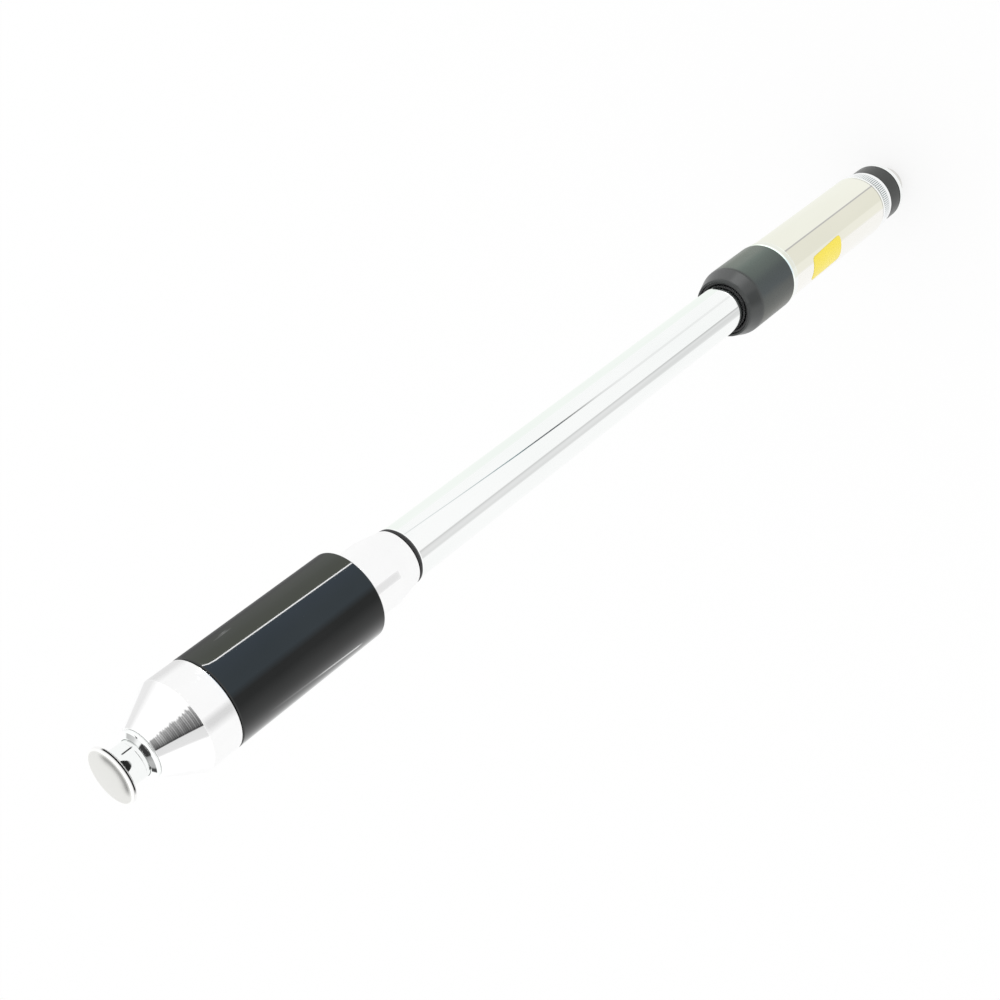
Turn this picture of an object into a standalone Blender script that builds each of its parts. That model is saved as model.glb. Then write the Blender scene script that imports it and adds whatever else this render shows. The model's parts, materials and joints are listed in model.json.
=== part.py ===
"""A portable telescopic antenna with a loading coil, a tuning slide and a coaxial plug.

Metres, +Z up. The origin is on the axis, in the plane where the plug's shoulder seats on a socket,
and the tip button is at the top. The whip is pushed in and the tuning slide is pulled out.
"""

import math

import bmesh
import bpy

# Clearances
SEAT_GAP = 0.0003            # between two faces that rest on each other
RUNNING_GAP = 0.0003         # radial, between a piece and the bore that it slides or fits in
WHIP_GAP = 0.0001            # radial, at the whip's friction bushes and stems
WIPER_GAP = 0.00015          # radial, of the seals and springs that touch the slider tube

# Plug: a screw-on coaxial plug of the common portable radio size
SHELL_NOSE_DIAMETER = 0.0122
SHELL_NOSE_LENGTH = 0.0055
SHELL_NOSE_WALL = 0.0009
SHELL_NECK_STEP = 0.0002     # radial, from the nose out to the neck
SHOULDER_WIDTH = 0.0010      # radial, outside the nose
SHOULDER_THICKNESS = 0.0016
SHOULDER_NOTCHES = 4
NOTCH_WIDTH = 0.0016
NOTCH_DEPTH = 0.0008
PLUG_INSULATOR_RECESS = 0.0030
PIN_DIAMETER = 0.0040
PIN_REACH = 0.0110
PIN_STEM_STEP = 0.0004       # radial, from the pin in to its stem
PIN_NOSE_TAPER = 0.0008
NUT_ROOM = 0.0004            # radial, round the shoulder
NUT_WALL = 0.0015
NUT_REACH = 0.0095
NUT_LIP_THICKNESS = 0.0012
NUT_GRIP_LENGTH = 0.0060
NUT_GRIP_DEPTH = 0.0004
NUT_GRIP_TEETH = 24

# Base: end ring, insulator, knurled base, tube, front ring and collar. The insets and widths are
# radial; an inset is how far a piece stays inside the base tube's surface.
END_FACE_HEIGHT = 0.0010     # the end ring's face above the seat
END_RING_PROUD = 0.0001      # radial, beyond the insulator
END_RING_THICKNESS = 0.0024
END_RING_ROOM = 0.0005       # radial, round the coupling nut
END_RING_LEDGE = 0.0010
INSULATOR_INSET = 0.0012
INSULATOR_LENGTH = 0.0099
INSULATOR_SPIGOT_STEP = 0.0020
INSULATOR_EDGE = 0.0005
KNURL_INSET = 0.0004
KNURL_DEPTH = 0.00035
KNURL_LENGTH = 0.0059
KNURL_TEETH = 90
LOWER_RIM_INSET = 0.0010
LOWER_RIM_LENGTH = 0.0023
UPPER_RIM_LENGTH = 0.0023
UPPER_RIM_CHAMFER = 0.0008
BASE_PLUG_LENGTH = 0.0080
BASE_TUBE_ROOM = 0.0031      # radial, from the slider tube to the base tube's bore
BASE_TUBE_WALL = 0.0014
BASE_TUBE_LENGTH = 0.0863
FRONT_RING_PROUD = 0.0006    # radial, beyond the base tube
FRONT_RING_THICKNESS = 0.0042
FRONT_RING_EDGE = 0.0006
COLLAR_PROUD = 0.00075       # radial, beyond the base tube
COLLAR_LENGTH = 0.0283
COLLAR_CONE_LENGTH = 0.0078
COLLAR_LIP_WIDTH = 0.00095
COLLAR_SPIGOT_LENGTH = 0.0050
WIPER_WIDTH = 0.00145
WIPER_DEPTH = 0.0030
WIPER_RECESS = 0.0010
WIPER_EDGE = 0.0005
CONTACT_LENGTH = 0.0070
CONTACT_BAND = 0.0020
CONTACT_METAL = 0.0006
CONTACT_FINGERS = 12
CONTACT_SLOT = 0.0010

# Tuning slide: tube, washer, ferrule, coil, sleeve and cone
SLIDER_DIAMETER = 0.0220
SLIDER_WALL = 0.0010
SLIDER_EDGE = 0.0003
SLIDER_EXPOSED = 0.2226      # from the collar's lip to the washer, pulled out
STOP_RING_LENGTH = 0.0080
WASHER_PROUD = 0.0004        # radial, beyond the slider tube
WASHER_THICKNESS = 0.0015
WASHER_EDGE = 0.0004
FERRULE_PROUD = 0.0023       # radial, beyond the slider tube
FERRULE_LENGTH = 0.0142
FERRULE_TAPER = 0.0113
FERRULE_NECK_PROUD = 0.0005  # radial, of the taper's small end
FERRULE_TENON = 0.0100       # into the slider tube
FERRULE_EDGE = 0.0004
SLEEVE_DIAMETER = 0.0350
SLEEVE_WALL = 0.0015
SLEEVE_LENGTH = 0.0677
SLEEVE_EDGE = 0.0003
SLEEVE_PLUG_LENGTH = 0.0080  # of the ferrule and of the cone cap, into the sleeve
WINDING_ROOM = 0.0026        # radial, from the former's drum to the sleeve's bore
FORMER_ROOM = 0.00095        # radial, outside the whip's passage
FORMER_FLANGE = 0.0015
WIRE_DIAMETER = 0.0012
COIL_PITCH = 0.0040
COIL_POINTS = 16
BAND_LENGTH = 0.0122
CONE_LENGTH = 0.0143
CONE_MOUTH_WIDTH = 0.00255   # radial, outside the whip
WHIP_COLLAR_WIDTH = 0.0025   # radial, outside the whip
WHIP_COLLAR_LENGTH = 0.0022
WHIP_COLLAR_BAND = 0.0014    # the lower part of the collar, at its full width
WHIP_COLLAR_LIP = 0.0006     # radial, outside the whip, at the top of the slope above the band
WHIP_COLLAR_EDGE = 0.0003

# Whip: nested sections round a rod, with the tip button on the rod
WHIP_SECTIONS = 7
ROD_DIAMETER = 0.0039
WHIP_LENGTH = 0.3000
WHIP_STANDS_OUT = 0.0075     # of the outermost section, above its collar
SECTION_STEP = 0.0008        # from one section's radius to the next
SECTION_WALL = 0.0004
SECTION_RISE = 0.00015       # of each section's mouth above the one round it
MOUTH_LENGTH = 0.0015
MOUTH_GAP = 0.00012
MOUTH_EDGE = 0.0002
BUSH_HEAD = 0.0050
BUSH_STEM = 0.0030
BUSH_SLOT_WIDTH = 0.0005     # the slot splits the head, so that it springs against the bore
BUSH_SLOT_DEPTH = 0.0040
ROD_SOCKET_WALL = 0.00085
BUTTON_DIAMETER = 0.0210
BUTTON_RIM = 0.0016
BUTTON_CROWN = 0.0007
BUTTON_EDGE = 0.0003
BUTTON_ROOF = 0.0010         # over the rod's socket

# Facets round a full turn
OUTER_STEPS = 32
INNER_STEPS = 24
WHIP_STEPS = 16
MERGE = 0.000001
SHARP_ANGLE = math.radians(28)
COLLECTION = "telescopic_antenna"

# Heights above the seat, from the plug up to the button
insulator_low = END_FACE_HEIGHT + END_RING_THICKNESS + SEAT_GAP
knurled_low = insulator_low + INSULATOR_LENGTH + SEAT_GAP
knurled_length = LOWER_RIM_LENGTH + KNURL_LENGTH + UPPER_RIM_LENGTH
base_tube_low = knurled_low + knurled_length + SEAT_GAP
base_tube_top = base_tube_low + BASE_TUBE_LENGTH
front_ring_low = base_tube_top + SEAT_GAP
collar_low = front_ring_low + FRONT_RING_THICKNESS + SEAT_GAP
collar_top = collar_low + COLLAR_LENGTH + COLLAR_CONE_LENGTH
spigot_low = base_tube_top - COLLAR_SPIGOT_LENGTH
contact_low = spigot_low - SEAT_GAP - CONTACT_LENGTH
slider_low = contact_low - SEAT_GAP - STOP_RING_LENGTH
slider_top = collar_top + SLIDER_EXPOSED
washer_low = slider_top + SEAT_GAP
ferrule_low = washer_low + WASHER_THICKNESS + SEAT_GAP
ferrule_top = ferrule_low + FERRULE_TAPER + FERRULE_LENGTH
sleeve_low = ferrule_top + SEAT_GAP
sleeve_top = sleeve_low + SLEEVE_LENGTH
former_low = ferrule_top + SLEEVE_PLUG_LENGTH + SEAT_GAP
former_top = sleeve_top - SLEEVE_PLUG_LENGTH
cone_low = sleeve_top + SEAT_GAP
cone_top = cone_low + BAND_LENGTH + CONE_LENGTH
whip_collar_low = cone_top + SEAT_GAP
whip_top = whip_collar_low + WHIP_COLLAR_LENGTH + WHIP_STANDS_OUT
button_low = whip_top + (WHIP_SECTIONS - 2) * SECTION_RISE + SEAT_GAP
button_socket_depth = BUTTON_RIM + BUTTON_CROWN - BUTTON_ROOF

# Radii, from the rod out to the base
whip_radius = ROD_DIAMETER / 2 + (WHIP_SECTIONS - 1) * SECTION_STEP
whip_passage = whip_radius + RUNNING_GAP
slider_radius = SLIDER_DIAMETER / 2
slider_bore = slider_radius - SLIDER_WALL
sleeve_radius = SLEEVE_DIAMETER / 2
sleeve_bore = sleeve_radius - SLEEVE_WALL
base_bore = slider_radius + BASE_TUBE_ROOM
base_radius = base_bore + BASE_TUBE_WALL
insulator_radius = base_radius - INSULATOR_INSET
nose_radius = SHELL_NOSE_DIAMETER / 2
nose_bore = nose_radius - SHELL_NOSE_WALL
shoulder_radius = nose_radius + SHOULDER_WIDTH
shell_neck = nose_radius + SHELL_NECK_STEP
nut_bore = shoulder_radius + NUT_ROOM
nut_radius = nut_bore + NUT_WALL
end_ring_bore = nut_radius + END_RING_ROOM
pin_stem = PIN_DIAMETER / 2 - PIN_STEM_STEP

# Materials: colour, roughness, metallic
PAINTS = {
    "nickel": ((0.78, 0.78, 0.76), 0.20, 1.0),
    "chrome": ((0.86, 0.87, 0.87), 0.07, 1.0),
    "warm_chrome": ((0.84, 0.82, 0.77), 0.14, 1.0),
    "aluminium": ((0.86, 0.86, 0.86), 0.26, 1.0),
    "satin_aluminium": ((0.82, 0.82, 0.80), 0.38, 1.0),
    "brass": ((0.78, 0.60, 0.28), 0.30, 1.0),
    "copper": ((0.72, 0.34, 0.16), 0.28, 1.0),
    "black_plastic": ((0.030, 0.031, 0.033), 0.42, 0.0),
    "gloss_sleeve": ((0.022, 0.026, 0.030), 0.16, 0.0),
    "black_rubber": ((0.012, 0.012, 0.013), 0.30, 0.0),
    "white_plastic": ((0.80, 0.79, 0.74), 0.50, 0.0),
}


def section_radius(index):
    """Outer radius of a whip section; section 0 is the outermost."""
    return whip_radius - index * SECTION_STEP


def section_bore(index):
    """Bore of a whip section; the rod, which is the last one, has a socket for its bush instead."""
    if index == WHIP_SECTIONS - 1:
        return section_radius(index) - ROD_SOCKET_WALL
    return section_radius(index) - SECTION_WALL


def section_low(index):
    """Height of a section's lower end: each one stands on its bush, over the stem of the one round it."""
    return whip_top - WHIP_LENGTH + index * (BUSH_STEM + SEAT_GAP + BUSH_HEAD + WHIP_GAP)


def section_top(index):
    """Height of a section's mouth."""
    return whip_top + index * SECTION_RISE


def clear_scene():
    """Remove what the scene holds."""
    for thing in list(bpy.data.objects):
        bpy.data.objects.remove(thing, do_unlink=True)


def collection(name):
    """A collection of the scene, made once."""
    found = bpy.data.collections.get(name)
    if found is None:
        found = bpy.data.collections.new(name)
        bpy.context.scene.collection.children.link(found)
    return found


def material(paint):
    """A Principled material, made once from its row in PAINTS."""
    found = bpy.data.materials.get(paint)
    if found is None:
        colour, roughness, metallic = PAINTS[paint]
        found = bpy.data.materials.new(paint)
        found.use_nodes = True
        shader = found.node_tree.nodes["Principled BSDF"]
        shader.inputs["Base Color"].default_value = (*colour, 1.0)
        shader.inputs["Roughness"].default_value = roughness
        shader.inputs["Metallic"].default_value = metallic
        found.diffuse_color = (*colour, 1.0)
    return found


def moving_axis(name, height, carrier=None):
    """An empty on the antenna's axis, which the pieces of one moving body hang from."""
    empty = bpy.data.objects.new(name, None)
    empty.empty_display_size = SLEEVE_DIAMETER
    hang(empty, height, carrier, COLLECTION)
    bpy.context.view_layer.update()
    return empty


def hang(thing, height, carrier, group):
    """Link an object and put it at its height, on its carrier if it has one."""
    collection(group).objects.link(thing)
    thing.parent = carrier
    thing.location.z = height
    if carrier is not None:
        thing.location.z -= carrier.matrix_world.translation.z


def place(piece, height, carrier, paint):
    """Hang a piece from its carrier and give it its material."""
    hang(piece, height, carrier, COLLECTION)
    piece.data.materials.append(material(paint))
    return piece


def turned(name, outline, height, paint, carrier=None, steps=INNER_STEPS):
    """A solid of revolution. Its outline starts at the top and runs down the outer side, and then
    either goes up the bore and closes, or starts and ends on the axis."""
    mesh = bpy.data.meshes.new(name)
    points = [(radius, 0.0, level) for radius, level in outline]
    edges = [(i, i + 1) for i in range(len(points) - 1)]
    if points[0][0] > 0:
        edges.append((len(points) - 1, 0))
    mesh.from_pydata(points, edges, [])
    piece = place(bpy.data.objects.new(name, mesh), height, carrier, paint)
    turn = piece.modifiers.new("Turn", "SCREW")
    turn.steps = steps
    turn.render_steps = steps
    turn.use_merge_vertices = True
    turn.merge_threshold = MERGE
    return piece


def ring_outline(outer, bore, length, edge=0.0):
    """A ring with its lower face at 0, and chamfered outer edges."""
    if edge:
        return [(outer - edge, length), (outer, length - edge), (outer, edge), (outer - edge, 0),
                (bore, 0), (bore, length)]
    return [(outer, length), (outer, 0), (bore, 0), (bore, length)]


def cutter(name, mesh_maker, height):
    """A hidden object that a Boolean takes away; the maker fills its bmesh."""
    mesh = bpy.data.meshes.new(name)
    shape = bmesh.new()
    mesh_maker(shape)
    shape.to_mesh(mesh)
    shape.free()
    tool = bpy.data.objects.new(name, mesh)
    hang(tool, height, None, "cutters")
    tool.hide_render = True
    tool.display_type = "WIRE"
    return tool


def cut(piece, tool, operation="DIFFERENCE"):
    """Take a cutter from a piece, or join it on."""
    boolean = piece.modifiers.new("Cut", "BOOLEAN")
    boolean.operation = operation
    boolean.object = tool
    boolean.solver = "EXACT"


def spokes(count, inner, outer, width, low, high, first_angle):
    """A maker of boxes that stand round the axis like spokes."""
    def make(shape):
        for i in range(count):
            made = bmesh.ops.create_cube(shape, size=1.0)["verts"]
            angle = first_angle + math.tau * i / count
            for vert in made:
                along = (inner + outer) / 2 + vert.co.x * (outer - inner)
                across = vert.co.y * width
                level = (low + high) / 2 + vert.co.z * (high - low)
                vert.co.x = along * math.cos(angle) - across * math.sin(angle)
                vert.co.y = along * math.sin(angle) + across * math.cos(angle)
                vert.co.z = level
    return make


def toothed_band(teeth, crest, root, bore, length):
    """A maker of a straight-knurled ring: crests and roots take turns round its outline."""
    def make(shape):
        rings = []
        inner = (bore, bore)
        outer = (crest, root)
        for radii, level in ((inner, 0), (outer, 0), (outer, length), (inner, length)):
            ring = []
            for i in range(2 * teeth):
                angle = math.tau * i / (2 * teeth)
                radius = radii[i % 2]
                ring.append(shape.verts.new((radius * math.cos(angle), radius * math.sin(angle), level)))
            rings.append(ring)
        for below, above in zip(rings, rings[1:] + rings[:1]):
            for i in range(2 * teeth):
                j = (i + 1) % (2 * teeth)
                shape.faces.new((below[i], below[j], above[j], above[i]))
    return make


def plug_shell():
    """The plug's outer conductor: a thin nose, a notched shoulder and a neck into the insulator."""
    top = insulator_low + INSULATOR_LENGTH - SEAT_GAP
    outline = [(shell_neck, top), (shell_neck, SHOULDER_THICKNESS), (shoulder_radius, SHOULDER_THICKNESS),
               (shoulder_radius, 0), (nose_radius, 0), (nose_radius, -SHELL_NOSE_LENGTH),
               (nose_bore, -SHELL_NOSE_LENGTH), (nose_bore, top)]
    shell = turned("plug_shell", outline, 0, "nickel")
    make = spokes(SHOULDER_NOTCHES, nose_radius + WHIP_GAP, 2 * shoulder_radius, NOTCH_WIDTH,
                  -NOTCH_DEPTH, NOTCH_DEPTH, math.pi / SHOULDER_NOTCHES)
    cut(shell, cutter("shoulder_notches", make, 0))


def plug_inside():
    """The dielectric in the shell, and the pin that runs through it into the knurled base."""
    pin = PIN_DIAMETER / 2
    low = -SHELL_NOSE_LENGTH + PLUG_INSULATOR_RECESS
    top = insulator_low + INSULATOR_LENGTH - SEAT_GAP
    filling = ring_outline(nose_bore - WHIP_GAP, pin + WHIP_GAP, top - low)
    turned("plug_insulator", filling, low, "white_plastic")
    stem_top = knurled_low + knurled_length
    outline = [(0, stem_top), (pin_stem, stem_top), (pin_stem, top), (pin, top),
               (pin, PIN_NOSE_TAPER - PIN_REACH), (pin - PIN_NOSE_TAPER, -PIN_REACH), (0, -PIN_REACH)]
    turned("centre_pin", outline, 0, "nickel", steps=WHIP_STEPS)


def coupling_nut():
    """The nut that turns on the shell: its inner lip is caught behind the shoulder."""
    axis = moving_axis("coupling_nut_axis", 0)
    root = nut_radius - NUT_GRIP_DEPTH
    core = root - NUT_GRIP_DEPTH / 2
    lip_low = SHOULDER_THICKNESS + SEAT_GAP
    length = NUT_REACH + lip_low + NUT_LIP_THICKNESS
    lip = length - NUT_LIP_THICKNESS
    lip_bore = shell_neck + RUNNING_GAP
    outline = [(core, length), (core, length - NUT_GRIP_LENGTH), (nut_radius, length - NUT_GRIP_LENGTH),
               (nut_radius, 0), (nut_bore, 0), (nut_bore, lip), (lip_bore, lip), (lip_bore, length)]
    nut = turned("coupling_nut", outline, -NUT_REACH, "nickel", axis, OUTER_STEPS)
    grip_length = NUT_GRIP_LENGTH - 2 * NUT_GRIP_DEPTH
    grip_low = -NUT_REACH + length - NUT_GRIP_LENGTH + NUT_GRIP_DEPTH
    make = toothed_band(NUT_GRIP_TEETH, nut_radius, root, core - NUT_GRIP_DEPTH, grip_length)
    cut(nut, cutter("nut_grip", make, grip_low), "UNION")


def base_end():
    """The bright end ring, the black insulator in it, and the knurled metal base above."""
    spigot = insulator_radius - INSULATOR_SPIGOT_STEP
    ledge = END_RING_THICKNESS - END_RING_LEDGE
    outer = insulator_radius + END_RING_PROUD
    outline = [(outer, END_RING_THICKNESS), (outer, 0), (end_ring_bore, 0), (end_ring_bore, ledge),
               (spigot + RUNNING_GAP, ledge), (spigot + RUNNING_GAP, END_RING_THICKNESS)]
    turned("end_ring", outline, END_FACE_HEIGHT, "chrome", steps=OUTER_STEPS)

    outer = insulator_radius
    bore = shell_neck + WHIP_GAP
    edge = INSULATOR_EDGE
    outline = [(outer - edge, INSULATOR_LENGTH), (outer, INSULATOR_LENGTH - edge), (outer, 0),
               (spigot, 0), (spigot, -END_RING_LEDGE), (end_ring_bore, -END_RING_LEDGE), (end_ring_bore, 0),
               (bore, 0), (bore, INSULATOR_LENGTH)]
    turned("base_insulator", outline, insulator_low, "black_plastic", steps=OUTER_STEPS)

    crest = base_radius - KNURL_INSET
    root = crest - KNURL_DEPTH
    core = root - KNURL_DEPTH / 2
    plug = base_bore - RUNNING_GAP
    stem = pin_stem + WHIP_GAP
    rim = base_radius - LOWER_RIM_INSET
    band_low = LOWER_RIM_LENGTH
    band_top = LOWER_RIM_LENGTH + KNURL_LENGTH
    outline = [(plug, knurled_length + BASE_PLUG_LENGTH), (plug, knurled_length),
               (base_radius, knurled_length), (base_radius, band_top + UPPER_RIM_CHAMFER),
               (base_radius - UPPER_RIM_CHAMFER, band_top), (core, band_top), (core, band_low),
               (rim, band_low), (rim, 0), (stem, 0), (stem, knurled_length + BASE_PLUG_LENGTH)]
    base = turned("knurled_base", outline, knurled_low, "aluminium", steps=OUTER_STEPS)
    inset = KNURL_DEPTH
    make = toothed_band(KNURL_TEETH, crest, root, core - inset, KNURL_LENGTH - 2 * inset)
    cut(base, cutter("knurl", make, knurled_low + band_low + inset), "UNION")


def base_barrel():
    """The base tube, and the bright ring between it and the collar."""
    turned("base_tube", ring_outline(base_radius, base_bore, BASE_TUBE_LENGTH), base_tube_low,
           "warm_chrome", steps=OUTER_STEPS)
    ring = ring_outline(base_radius + FRONT_RING_PROUD, base_bore, FRONT_RING_THICKNESS, FRONT_RING_EDGE)
    turned("front_ring", ring, front_ring_low, "chrome", steps=OUTER_STEPS)


def collar():
    """The plastic collar: its spigot holds it in the base tube and its bore guides the slide."""
    outer = base_radius + COLLAR_PROUD
    bore = slider_radius + RUNNING_GAP
    spigot = base_bore - RUNNING_GAP
    touch = slider_radius + WIPER_GAP
    recess = touch + WIPER_WIDTH + WHIP_GAP
    top = COLLAR_LENGTH + COLLAR_CONE_LENGTH
    pocket = top - WIPER_RECESS - WIPER_DEPTH - SEAT_GAP
    outline = [(recess + COLLAR_LIP_WIDTH, top), (outer, COLLAR_LENGTH), (outer, 0), (spigot, 0),
               (spigot, spigot_low - collar_low), (bore, spigot_low - collar_low),
               (bore, pocket), (recess, pocket), (recess, top)]
    turned("collar", outline, collar_low, "black_plastic", steps=OUTER_STEPS)
    back = touch + WIPER_WIDTH
    outline = [(back, WIPER_DEPTH), (back, 0), (touch, 0), (touch, WIPER_DEPTH - WIPER_EDGE),
               (touch + WIPER_EDGE, WIPER_DEPTH)]
    turned("wiper_ring", outline, collar_low + pocket + SEAT_GAP, "black_rubber", steps=OUTER_STEPS)


def contact_ring():
    """A band of spring fingers that lean in from the base tube on to the slider tube."""
    outer = base_bore - WIPER_GAP
    touch = slider_radius + WIPER_GAP
    metal = CONTACT_METAL
    band = CONTACT_LENGTH - CONTACT_BAND
    outline = [(outer, CONTACT_LENGTH), (outer, band), (touch + metal, metal), (touch + 2 * metal, 0),
               (touch + metal, 0), (touch, metal), (outer - metal, band), (outer - metal, CONTACT_LENGTH)]
    ring = turned("contact_ring", outline, contact_low, "copper", steps=INNER_STEPS)
    make = spokes(CONTACT_FINGERS, touch / 2, base_bore, CONTACT_SLOT, -metal, band, 0)
    cut(ring, cutter("finger_slots", make, contact_low))


def slide_tube(slide):
    """The polished tube with the stop ring on its lower end and the washer on its upper end."""
    tube = ring_outline(slider_radius, slider_bore, slider_top - slider_low, SLIDER_EDGE)
    turned("slider_tube", tube, slider_low, "chrome", slide, OUTER_STEPS)
    turned("stop_ring", ring_outline(base_bore - RUNNING_GAP, slider_radius + WHIP_GAP, STOP_RING_LENGTH),
           slider_low, "brass", slide)
    tenon = slider_bore - RUNNING_GAP
    ring = ring_outline(slider_radius + WASHER_PROUD, tenon + WHIP_GAP, WASHER_THICKNESS, WASHER_EDGE)
    turned("joint_washer", ring, washer_low, "black_rubber", slide, OUTER_STEPS)


def ferrule(slide):
    """The turned ferrule: a tenon in the slider tube, a taper, a cylinder, and a plug in the sleeve."""
    outer = slider_radius + FERRULE_PROUD
    neck = slider_radius + FERRULE_NECK_PROUD
    tenon = slider_bore - RUNNING_GAP
    plug = sleeve_bore - RUNNING_GAP
    shoulder = FERRULE_TAPER + FERRULE_LENGTH
    tenon_low = washer_low - SEAT_GAP - FERRULE_TENON - ferrule_low
    outline = [(plug, shoulder + SLEEVE_PLUG_LENGTH), (plug, shoulder), (outer, shoulder),
               (outer, FERRULE_TAPER), (neck, FERRULE_EDGE), (neck - FERRULE_EDGE, 0),
               (tenon, 0), (tenon, tenon_low),
               (whip_passage, tenon_low), (whip_passage, shoulder + SLEEVE_PLUG_LENGTH)]
    turned("ferrule", outline, ferrule_low, "aluminium", slide, OUTER_STEPS)


def coil(slide):
    """The flanged former and the wire wound round it."""
    length = former_top - former_low
    drum = sleeve_bore - WINDING_ROOM
    flange = sleeve_bore - RUNNING_GAP
    bore = whip_passage + FORMER_ROOM
    outline = [(flange, length), (flange, length - FORMER_FLANGE), (drum, length - FORMER_FLANGE),
               (drum, FORMER_FLANGE), (flange, FORMER_FLANGE), (flange, 0), (bore, 0), (bore, length)]
    turned("coil_former", outline, former_low, "white_plastic", slide)

    radius = drum + SEAT_GAP + WIRE_DIAMETER / 2
    room = length - 2 * FORMER_FLANGE - WIRE_DIAMETER - 2 * SEAT_GAP
    turns = math.floor(room / COIL_PITCH)
    count = turns * COIL_POINTS + 1
    start = (length - turns * COIL_PITCH) / 2
    wire = bpy.data.curves.new("coil_path", "CURVE")
    wire.dimensions = "3D"
    wire.bevel_depth = WIRE_DIAMETER / 2
    wire.bevel_resolution = 1
    wire.use_fill_caps = True
    spline = wire.splines.new("POLY")
    spline.points.add(count - 1)
    for i, point in enumerate(spline.points):
        angle = math.tau * i / COIL_POINTS
        rise = start + COIL_PITCH * i / COIL_POINTS
        point.co = (radius * math.cos(angle), radius * math.sin(angle), rise, 1.0)
    winding = bpy.data.objects.new("coil_winding", wire)
    place(winding, former_low, slide, "copper")


def sleeve(slide):
    """The glossy cover of the coil."""
    turned("coil_sleeve", ring_outline(sleeve_radius, sleeve_bore, SLEEVE_LENGTH, SLEEVE_EDGE), sleeve_low,
           "gloss_sleeve", slide, OUTER_STEPS)


def cone_cap(slide):
    """The band and cone, turned in one piece, with a plug in the sleeve; and the flanged whip collar."""
    outer = sleeve_radius
    plug = sleeve_bore - RUNNING_GAP
    small = whip_radius + CONE_MOUTH_WIDTH
    top = BAND_LENGTH + CONE_LENGTH
    plug_low = former_top + SEAT_GAP - cone_low
    outline = [(small, top), (outer, BAND_LENGTH), (outer, SLEEVE_EDGE), (outer - SLEEVE_EDGE, 0), (plug, 0),
               (plug, plug_low), (whip_passage, plug_low), (whip_passage, top)]
    turned("cone_cap", outline, cone_low, "aluminium", slide, OUTER_STEPS)

    outer = whip_radius + WHIP_COLLAR_WIDTH
    edge = WHIP_COLLAR_EDGE
    lip = whip_radius + WHIP_COLLAR_LIP
    grip = whip_radius + WHIP_GAP
    outline = [(lip, WHIP_COLLAR_LENGTH), (outer - edge, WHIP_COLLAR_BAND), (outer, WHIP_COLLAR_BAND - edge),
               (outer, edge), (outer - edge, 0), (grip, 0), (grip, WHIP_COLLAR_LENGTH)]
    turned("whip_collar", outline, whip_collar_low, "chrome", slide, OUTER_STEPS)


def whip_section(index, carrier):
    """A drawn tube whose rolled mouth is a running fit on the next section."""
    outer = section_radius(index)
    bore = section_bore(index)
    mouth = section_radius(index + 1) + MOUTH_GAP
    length = section_top(index) - section_low(index)
    neck = length - MOUTH_LENGTH
    outline = [(outer - MOUTH_EDGE, length), (outer, length - MOUTH_EDGE), (outer, 0), (bore, 0),
               (bore, neck), (mouth, neck), (mouth, length)]
    turned(f"whip_section_{index + 1}", outline, section_low(index), "chrome", carrier, WHIP_STEPS)


def tip_rod(carrier):
    """The innermost section: a solid rod with a socket for its bush."""
    index = WHIP_SECTIONS - 1
    radius = section_radius(index)
    socket = section_bore(index)
    length = button_low + button_socket_depth - SEAT_GAP - section_low(index)
    depth = BUSH_STEM + SEAT_GAP
    outline = [(0, length), (radius, length), (radius, 0), (socket, 0), (socket, depth), (0, depth)]
    turned(f"whip_section_{index + 1}", outline, section_low(index), "chrome", carrier, WHIP_STEPS)


def whip_bush(index, carrier):
    """The plug on a section's lower end: its split head springs against the bore of the section
    round it, and stops under that section's mouth."""
    head = section_bore(index - 1) - WHIP_GAP
    stem = section_bore(index) - WHIP_GAP
    edge = WHIP_GAP
    top = BUSH_HEAD + BUSH_STEM
    low = section_low(index) - WHIP_GAP - BUSH_HEAD
    outline = [(0, top), (stem, top), (stem, BUSH_HEAD), (head, BUSH_HEAD),
               (head, edge), (head - edge, 0), (0, 0)]
    bush = turned(f"whip_bush_{index + 1}", outline, low, "brass", carrier, WHIP_STEPS)
    make = spokes(1, -2 * head, 2 * head, BUSH_SLOT_WIDTH, -edge, BUSH_SLOT_DEPTH, 0)
    cut(bush, cutter(f"bush_slot_{index + 1}", make, low))


def whip_stop(carrier):
    """The plug that closes the outermost section's lower end."""
    stem = section_bore(0) - WHIP_GAP
    outline = [(0, 2 * BUSH_STEM), (stem, 2 * BUSH_STEM), (stem, BUSH_STEM), (whip_radius, BUSH_STEM),
               (whip_radius, 0), (0, 0)]
    turned("whip_stop", outline, section_low(0) - BUSH_STEM - WHIP_GAP, "brass", carrier, WHIP_STEPS)


def tip_button(carrier):
    """The domed button, with a socket for the rod."""
    outer = BUTTON_DIAMETER / 2
    edge = BUTTON_EDGE
    socket = section_radius(WHIP_SECTIONS - 1) + WHIP_GAP
    dome = outer - edge
    dome_points = 4
    outline = []
    for i in range(dome_points):
        share = i / dome_points
        outline.append((dome * share, BUTTON_RIM + BUTTON_CROWN * (1 - share * share)))
    outline += [(dome, BUTTON_RIM), (outer, BUTTON_RIM - edge), (outer, edge), (outer - edge, 0),
                (socket, 0), (socket, button_socket_depth), (0, button_socket_depth)]
    turned("tip_button", outline, button_low, "satin_aluminium", carrier, OUTER_STEPS)


def whip(slide):
    """The sections, each on the axis of its own slide, with its bush; the button is on the rod."""
    whip_section(0, slide)
    whip_stop(slide)
    carrier = slide
    for index in range(1, WHIP_SECTIONS):
        carrier = moving_axis(f"whip_axis_{index + 1}", section_low(index), carrier)
        whip_bush(index, carrier)
        if index < WHIP_SECTIONS - 1:
            whip_section(index, carrier)
    tip_rod(carrier)
    tip_button(carrier)


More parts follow.
